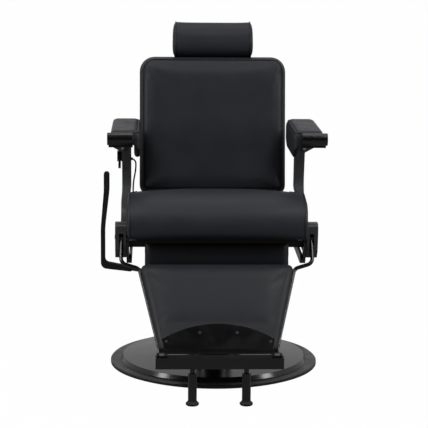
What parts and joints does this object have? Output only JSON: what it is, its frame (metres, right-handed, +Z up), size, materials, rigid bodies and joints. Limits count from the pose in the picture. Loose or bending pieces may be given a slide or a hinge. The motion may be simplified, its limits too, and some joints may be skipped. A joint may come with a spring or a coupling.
{
  "type": "barber chair",
  "caption": "Reclining barber chair on a round base with a hydraulic lift, padded seat, back, arms and headrest, and a calf pad with foot bar that rises as the back goes down.",
  "frame": {"origin": "on the floor, under the middle of the column", "axes": "+Z up, the sitter faces -Y, +X to the sitter's left"},
  "size_m": [0.695, 0.8904, 1.0732],
  "materials": {
    "black_leatherette": "satin",
    "gloss_black_metal": "gloss",
    "satin_black_metal": "satin",
    "black_rubber": "matte",
    "black_plastic": "satin",
    "bright_steel": "polished",
    "plain_steel": "satin",
    "plywood": "matte"
  },
  "bodies": {
    "base": {"floor_pad": "black_rubber", "base_ring": "satin_black_metal", "base_dome": "gloss_black_metal", "column_tube": "gloss_black_metal", "column_bolts": "plain_steel", "gland_bush": "gloss_black_metal"},
    "ram": {"ram": "bright_steel", "thrust_washer": "black_plastic"},
    "push_rod": {"push_rod": "bright_steel"},
    "seat": {"pump_head": "gloss_black_metal", "seat_plate": "satin_black_metal", "seat_plate_screws": "plain_steel", "seat_cross_tubes": "satin_black_metal", "seat_rails": "satin_black_metal", "back_hinge_plates": "satin_black_metal", "arm_mount_plates": "satin_black_metal", "seat_board": "plywood", "seat_cushion": "black_leatherette", "apron_board": "black_plastic", "front_apron": "black_leatherette", "arm_frame_left": "gloss_black_metal", "arm_frame_right": "gloss_black_metal", "arm_plate_left": "gloss_black_metal", "arm_plate_right": "gloss_black_metal", "arm_pad_left": "black_leatherette", "arm_pad_right": "black_leatherette", "arm_frame_bolts": "plain_steel", "arm_cap_nuts": "bright_steel", "strut_body": "satin_black_metal", "strut_clamps": "satin_black_metal", "release_housing": "black_plastic", "release_cable": "black_rubber"},
    "pump_lever": {"lever_arm": "gloss_black_metal", "lever_grip": "black_rubber"},
    "release": {"release_lever": "gloss_black_metal"},
    "back": {"back_hinge_shaft": "gloss_black_metal", "back_side_plates": "satin_black_metal", "back_cross_tubes": "satin_black_metal", "headrest_guides": "gloss_black_metal", "back_cover": "black_plastic", "back_cover_screws": "plain_steel", "back_board": "plywood", "back_cushion": "black_leatherette"},
    "headrest": {"headrest_posts": "bright_steel", "headrest_board": "plywood", "headrest_cushion": "black_leatherette"},
    "leg_rest": {"leg_rod_left": "gloss_black_metal", "leg_rod_right": "gloss_black_metal", "calf_board": "plywood", "leg_cross_bars": "satin_black_metal", "calf_pad": "black_leatherette", "kick_plate": "gloss_black_metal", "kick_plate_screws": "plain_steel", "foot_bar": "gloss_black_metal", "foot_bar_caps": "black_plastic", "foot_bar_bolts": "plain_steel", "support_legs": "gloss_black_metal", "support_feet": "black_rubber"},
    "links": {"link_bars": "gloss_black_metal"},
    "strut_rod": {"strut_rod": "bright_steel"}
  },
  "joints": [
    {"name": "lift", "type": "slide", "parent": "base", "child": "ram", "axis": [0, 0, 1], "range_m": [0, 0.13]},
    {"name": "swivel", "type": "hinge", "parent": "ram", "child": "seat", "pos_m": [0, 0, 0.262], "axis": [0, 0, 1], "continuous": true},
    {"name": "pump_lever", "type": "hinge", "parent": "seat", "child": "pump_lever", "pos_m": [0.03, 0, 0.3], "axis": [0, -1, 0], "range_deg": [0, 18], "stiffness_Nm_per_rad": 12, "springref_deg": -20.05},
    {"name": "pump_stroke", "type": "slide", "parent": "ram", "child": "push_rod", "axis": [0, 0, -1], "range_m": [0, 0.0128]},
    {"name": "recline", "type": "hinge", "parent": "seat", "child": "back", "pos_m": [0, 0.255, 0.452], "axis": [-1, 0, 0], "range_deg": [0, 45]},
    {"name": "leg_lift", "type": "hinge", "parent": "seat", "child": "leg_rest", "pos_m": [0, -0.182, 0.443], "axis": [-1, 0, 0], "range_deg": [0, 45]},
    {"name": "link_swing", "type": "hinge", "parent": "back", "child": "links", "pos_m": [0, 0.28561, 0.37809], "axis": [-1, 0, 0], "range_deg": [-45, 0]},
    {"name": "strut_slide", "type": "slide", "parent": "seat", "child": "strut_rod", "axis": [0, -1, 0], "range_m": [0, 0.0613]},
    {"name": "headrest_slide", "type": "slide", "parent": "back", "child": "headrest", "axis": [0, 0.1736, 0.9848], "range_m": [0, 0.1]},
    {"name": "release", "type": "hinge", "parent": "seat", "child": "release", "pos_m": [-0.304, 0.171, 0.65], "axis": [-1, 0, 0], "range_deg": [0, 20], "stiffness_Nm_per_rad": 0.5, "springref_deg": -17.19}
  ],
  "couplings": [
    {"joint": "pump_stroke", "follows": "pump_lever", "m_per_rad": 0.0405},
    {"joint": "leg_lift", "follows": "recline", "ratio": 1},
    {"joint": "link_swing", "follows": "recline", "ratio": -1},
    {"joint": "strut_slide", "follows": "recline", "m_per_rad": 0.07796}
  ]
}
